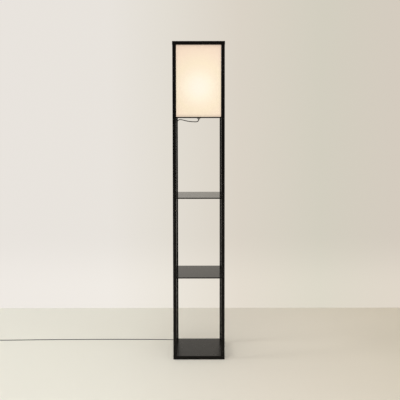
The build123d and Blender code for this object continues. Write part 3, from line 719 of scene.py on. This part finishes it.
clips.to_mesh(clip_mesh)
clips.free()
lead_clips = new_piece("flat_lead_clips", clip_mesh)
clip_edges = lead_clips.modifiers.new("moulded edges", "BEVEL")
clip_edges.width = edge_rounding
clip_edges.segments = 2
lead_clips.data.materials.append(vinyl)
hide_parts("lead_clips")

# ------------------------------------------------------------------------ plug
# A plug moulded in the lead's own vinyl holds two flat blades of rolled brass,
# each with a hole near its tip.
dress(vinyl, "plug_body")
dress(brass, "plug_blades")

# ----------------------------------------------------------------------- shade
# Off-white linen bonded to a stiff white sheet, its edges turned in over a wire
# square at the top and the bottom. The warm glow of the lit bulb through it is
# painted into the cloth as emission: painted light.
cloth_low, cloth_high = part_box("shade_fabric")
cloth_thickness = 0.0008
hem_height = 0.010
hem_depth = 0.00585
corner_radius = 0.008
cloth_overlap = 0.012
cloth_sink = cloth_thickness / 2
turn_radius = (hem_depth - cloth_thickness) / 2


def round_square(inset, per_corner=6, per_side=8):
    """The shade's outline from above, counter-clockwise from its rear left corner."""
    half_x = cloth_high.x - inset
    half_y = cloth_high.y - inset
    radius = max(corner_radius - inset, cloth_thickness)
    outline = []
    for turn, (side_x, side_y) in zip((90, 180, 270, 0), ((-1, 1), (-1, -1), (1, -1), (1, 1))):
        middle = Vector((side_x * (half_x - radius), side_y * (half_y - radius)))
        for step in range(per_corner + 1):
            angle = math.radians(turn + 90 * step / per_corner)
            outline.append(middle + Vector((math.cos(angle), math.sin(angle))) * radius)
    whole = []
    for here, after in zip(outline, [*outline[1:], outline[0]]):
        far = (after - here).length > 4 * radius
        shares = range(per_side if far else 1)
        whole += [here.lerp(after, share / len(shares)) for share in shares]
    return whole


def hem_profile(lip, inward, steps=8):
    """(inset, height) pairs from the hem's free edge, round the lip, to the outside."""
    points = [(hem_depth - cloth_sink, lip + inward * hem_height)]
    middle = lip + inward * (turn_radius + cloth_sink)
    for step in range(steps + 1):
        angle = math.radians(180 * step / steps)
        points.append((
            cloth_sink + turn_radius * (1 + math.cos(angle)),
            middle - inward * turn_radius * math.sin(angle),
        ))
    return points


cloth_rows = hem_profile(cloth_low.z, 1)
side_steps = 24
side_bottom = cloth_rows[-1][1]
top_rows = hem_profile(cloth_high.z, -1)
side_top = top_rows[-1][1]
cloth_rows += [
    (cloth_sink, side_bottom + (side_top - side_bottom) * step / side_steps)
    for step in range(1, side_steps)
]
cloth_rows += list(reversed(top_rows))


def run_lengths(points):
    """How far along their line the points lie."""
    lengths = [0.0]
    for here, after in zip(points, points[1:]):
        lengths.append(lengths[-1] + (Vector(after) - Vector(here)).length)
    return lengths


outline = round_square(cloth_sink)
along = run_lengths([*outline, outline[0]])
up_cloth = run_lengths(cloth_rows)
cloth_mesh = bpy.data.meshes.new("shade_cloth")
cloth = bmesh.new()
weave_map = cloth.loops.layers.uv.new("weave")


def weave_strip(grid, across, heights):
    """Cloth between rows of vertices, with its place in the flat piece."""
    for row, (lower, upper) in enumerate(zip(grid, grid[1:])):
        for column in range(len(across) - 1):
            after = (column + 1) % len(lower)
            face = cloth.faces.new((lower[column], lower[after], upper[after], upper[column]))
            places = ((column, row), (column + 1, row), (column + 1, row + 1), (column, row + 1))
            for loop, (step, level) in zip(face.loops, places):
                loop[weave_map].uv = (across[step], heights[level])


weave_strip([
    [cloth.verts.new((*point, height)) for point in round_square(inset)]
    for inset, height in cloth_rows
], along, up_cloth)
# The cloth's end laps over its start down the middle of the back.
lap_steps = [cloth_overlap * share for share in (0.5, 0.2, -0.2, -0.5)]
lap_first = 7  # the lap starts part of the way up the turned edge
weave_strip([
    [cloth.verts.new((x, cloth_high.y - inset + cloth_thickness, height)) for x in lap_steps]
    for inset, height in cloth_rows[lap_first:-lap_first]
], [cloth_overlap / 2 - x for x in lap_steps], up_cloth[lap_first:-lap_first])
cloth.to_mesh(cloth_mesh)
cloth.free()
smooth(cloth_mesh)
shade_cloth = new_piece("shade_cloth", cloth_mesh)
thicken = shade_cloth.modifiers.new("cloth thickness", "SOLIDIFY")
thicken.thickness = cloth_thickness
thicken.offset = 0
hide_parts("shade_fabric")

# The painted glow depends on how far a spot of the cloth is from a point above
# the bulb's middle.
bulb_low, bulb_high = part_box("bulb_glass")
bulb_radius = (bulb_high.x - bulb_low.x) / 2
glow_rise = 0.013
glow_middle = (0, 0, bulb_high.z - bulb_radius + glow_rise)
near_cloth = cloth_high.x
far_cloth = 0.28
painted_glow_tones = [
    (0.0, (0.87, 0.78, 0.675)),
    (0.10, (0.83, 0.75, 0.60)),
    (0.18, (0.825, 0.70, 0.55)),
    (0.30, (0.805, 0.68, 0.51)),
    (0.60, (0.795, 0.63, 0.495)),
    (1.0, (0.75, 0.585, 0.465)),
]


def painted_bulb_glow(tree, tones):
    """A painted glow colour, by distance from the bulb."""
    place = add_node(tree, "ShaderNodeTexCoord")
    reach = add_node(tree, "ShaderNodeVectorMath", {
        0: place.outputs["Object"],
        1: glow_middle,
    }, operation="DISTANCE")
    share = add_node(tree, "ShaderNodeMapRange", {
        "Value": reach.outputs["Value"],
        "From Min": near_cloth,
        "From Max": far_cloth,
    })
    return color_ramp(tree, share.outputs["Result"], tones)


linen, tree, shader = make_material("off-white linen", (0.27, 0.24, 0.18), 0.9, specular=0.15)
vary_color(tree, shader, object_noise(tree, 0.0016, 3), (0.25, 0.22, 0.165), (0.29, 0.26, 0.20))
# Painted shade: the painted glow is dimmed where the cloth lies double, in the hems
# and at the lap, where less light would come through.
double_layer_painted_shade = 0.86
lap_blur = 0.0005
hem_blur_inside = 0.002
hem_blur_outside = 0.003
spot = add_node(tree, "ShaderNodeSeparateXYZ", {
    "Vector": add_node(tree, "ShaderNodeTexCoord").outputs["Object"],
})
from_middle = add_node(tree, "ShaderNodeMath", {
    0: spot.outputs["Z"],
    1: (cloth_low.z + cloth_high.z) / 2,
}, operation="SUBTRACT")
away = add_node(tree, "ShaderNodeMath", {0: from_middle.outputs[0]}, operation="ABSOLUTE")
hem_line = (cloth_high.z - cloth_low.z) / 2 - hem_height
hems = add_node(tree, "ShaderNodeMapRange", {
    "Value": away.outputs[0],
    "From Min": hem_line - hem_blur_inside,
    "From Max": hem_line + hem_blur_outside,
    "To Min": 1.0,
    "To Max": double_layer_painted_shade,
})
from_lap = add_node(tree, "ShaderNodeMath", {0: spot.outputs["X"]}, operation="ABSOLUTE")
lap = add_node(tree, "ShaderNodeMapRange", {
    "Value": from_lap.outputs[0],
    "From Min": cloth_overlap / 2 - lap_blur,
    "From Max": cloth_overlap / 2 + lap_blur,
    "To Min": double_layer_painted_shade,
    "To Max": 1.0,
})
in_front = add_node(tree, "ShaderNodeMath", {
    0: spot.outputs["Y"],
    1: 0.0,
}, operation="LESS_THAN")
lap_behind = add_node(tree, "ShaderNodeMath", {
    0: lap.outputs["Result"],
    1: in_front.outputs[0],
}, operation="MAXIMUM")
layers = add_node(tree, "ShaderNodeMath", {
    0: hems.outputs["Result"],
    1: lap_behind.outputs[0],
}, operation="MULTIPLY")
# The painted glow, dimmed by the painted shade of the double layers, is the cloth's emission.
shaded = add_node(tree, "ShaderNodeVectorMath", {
    0: painted_bulb_glow(tree, painted_glow_tones),
    "Scale": layers.outputs[0],
}, operation="SCALE")
tree.links.new(shaded.outputs["Vector"], shader.inputs["Emission Color"])
shader.inputs["Emission Strength"].default_value = 1.0
# Plain weave: warp and weft threads pass over each other in turn.
yarn_pitch = 0.0007
weave_depth = 0.00016
thread_count = add_node(tree, "ShaderNodeVectorMath", {
    0: add_node(tree, "ShaderNodeUVMap", uv_map="weave").outputs["UV"],
    1: [math.pi / yarn_pitch] * 3,
}, operation="MULTIPLY")
threads = add_node(tree, "ShaderNodeSeparateXYZ", {"Vector": thread_count.outputs["Vector"]})
waves = [
    add_node(tree, "ShaderNodeMath", {0: threads.outputs[axis]}, operation="SINE").outputs[0]
    for axis in ("X", "Y")
]
crossing = add_node(tree, "ShaderNodeMath", {0: waves[0], 1: waves[1]}, operation="MULTIPLY")
uneven = add_node(tree, "ShaderNodeMath", {
    0: crossing.outputs[0],
    1: object_noise(tree, 0.0009, 3, (1, 1, 0.4)),
}, operation="ADD")
add_bump(tree, shader, uneven.outputs[0], weave_depth)
shade_cloth.data.materials.append(linen)

# The liner is a stiff white plastic sheet. The bulb's light on it is painted in as
# a glow weaker than the cloth's: painted light.
painted_liner_glow = [(0.0, (0.24, 0.20, 0.14)), (1.0, (0.10, 0.078, 0.05))]
styrene, tree, shader = make_material("white styrene", (0.8, 0.78, 0.72), 0.5, specular=0.3)
vary_color(tree, shader, object_noise(tree, 0.03, 3), (0.76, 0.74, 0.68), (0.82, 0.80, 0.74))
vary_roughness(tree, shader, object_noise(tree, 0.01, 3), 0.42, 0.58)
tree.links.new(painted_bulb_glow(tree, painted_liner_glow), shader.inputs["Emission Color"])
shader.inputs["Emission Strength"].default_value = 1.0
add_bump(tree, shader, object_noise(tree, 0.001, 2), 0.00002)
dress(styrene, "shade_liner")

powder, tree, shader = make_material("white powder coat", (0.75, 0.74, 0.7), 0.45)
vary_color(tree, shader, object_noise(tree, 0.01, 3), (0.70, 0.69, 0.65), (0.78, 0.77, 0.73))
vary_roughness(tree, shader, object_noise(tree, 0.004, 3), 0.38, 0.54)
add_bump(tree, shader, object_noise(tree, 0.0007, 2), 0.00003)
dress(powder, "shade_top_ring", "shade_bottom_ring")

# ------------------------------------------------------------------------ bulb
# A lit A60 bulb of frosted glass, cemented into a rolled aluminium cap with a
# black insulator and a zinc tip, and screwed into the lampholder.
aluminium, tree, shader = make_material("bulb cap metal", (0.62, 0.62, 0.6), 0.3, metallic=1.0)
vary_color(tree, shader, object_noise(tree, 0.004, 3), (0.55, 0.55, 0.53), (0.68, 0.68, 0.66))
vary_roughness(tree, shader, object_noise(tree, 0.002, 3), 0.24, 0.42)
add_bump(tree, shader, object_noise(tree, 0.0005, 2), 0.00001)
cap_low, cap_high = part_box("bulb_cap")
tip_radius = 0.0045
insulator_low = cap_low.z + 0.0015
insulator_top = insulator_low + 0.0045
cap_foot = [
    (0.0003, cap_low.z),
    (0.0036, cap_low.z + 0.0001),
    (tip_radius, cap_low.z + 0.0009),
    (tip_radius, insulator_low),
    (0.0052, insulator_low + 0.0001),
    (0.0112, insulator_low + 0.0031),
    (cap_high.x - thread_depth / 2, insulator_top - 0.0004),
]
threaded_cap = rolled_thread(
    "threaded_cap", cap_high.x, insulator_top, cap_high.z, cap_foot
)
for metal in (aluminium, moulding, zinc):
    threaded_cap.data.materials.append(metal)
for face in threaded_cap.data.polygons:
    if face.center.z < insulator_low:
        face.material_index = 2  # the tip
    elif face.center.z < insulator_top - thread_row / 2:
        face.material_index = 1  # the insulator
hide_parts("bulb_cap")

frosted, tree, shader = make_material("frosted glass", (0.3, 0.28, 0.24), 0.5)
vary_color(tree, shader, object_noise(tree, 0.02, 2), (0.28, 0.26, 0.22), (0.32, 0.30, 0.26))
vary_roughness(tree, shader, object_noise(tree, 0.004, 2), 0.42, 0.55)
shader.inputs["Emission Color"].default_value = (1.0, 0.87, 0.66, 1)
glass_glow_middle = 0.62
glass_glow_edge = 0.42
facing = add_node(tree, "ShaderNodeLayerWeight", {"Blend": 0.5})
lit = add_node(tree, "ShaderNodeMapRange", {
    "Value": facing.outputs["Facing"],
    "To Min": glass_glow_middle,
    "To Max": glass_glow_edge,
})
tree.links.new(lit.outputs["Result"], shader.inputs["Emission Strength"])
add_bump(tree, shader, object_noise(tree, 0.0008, 2), 0.00001)
dress(frosted, "bulb_glass")
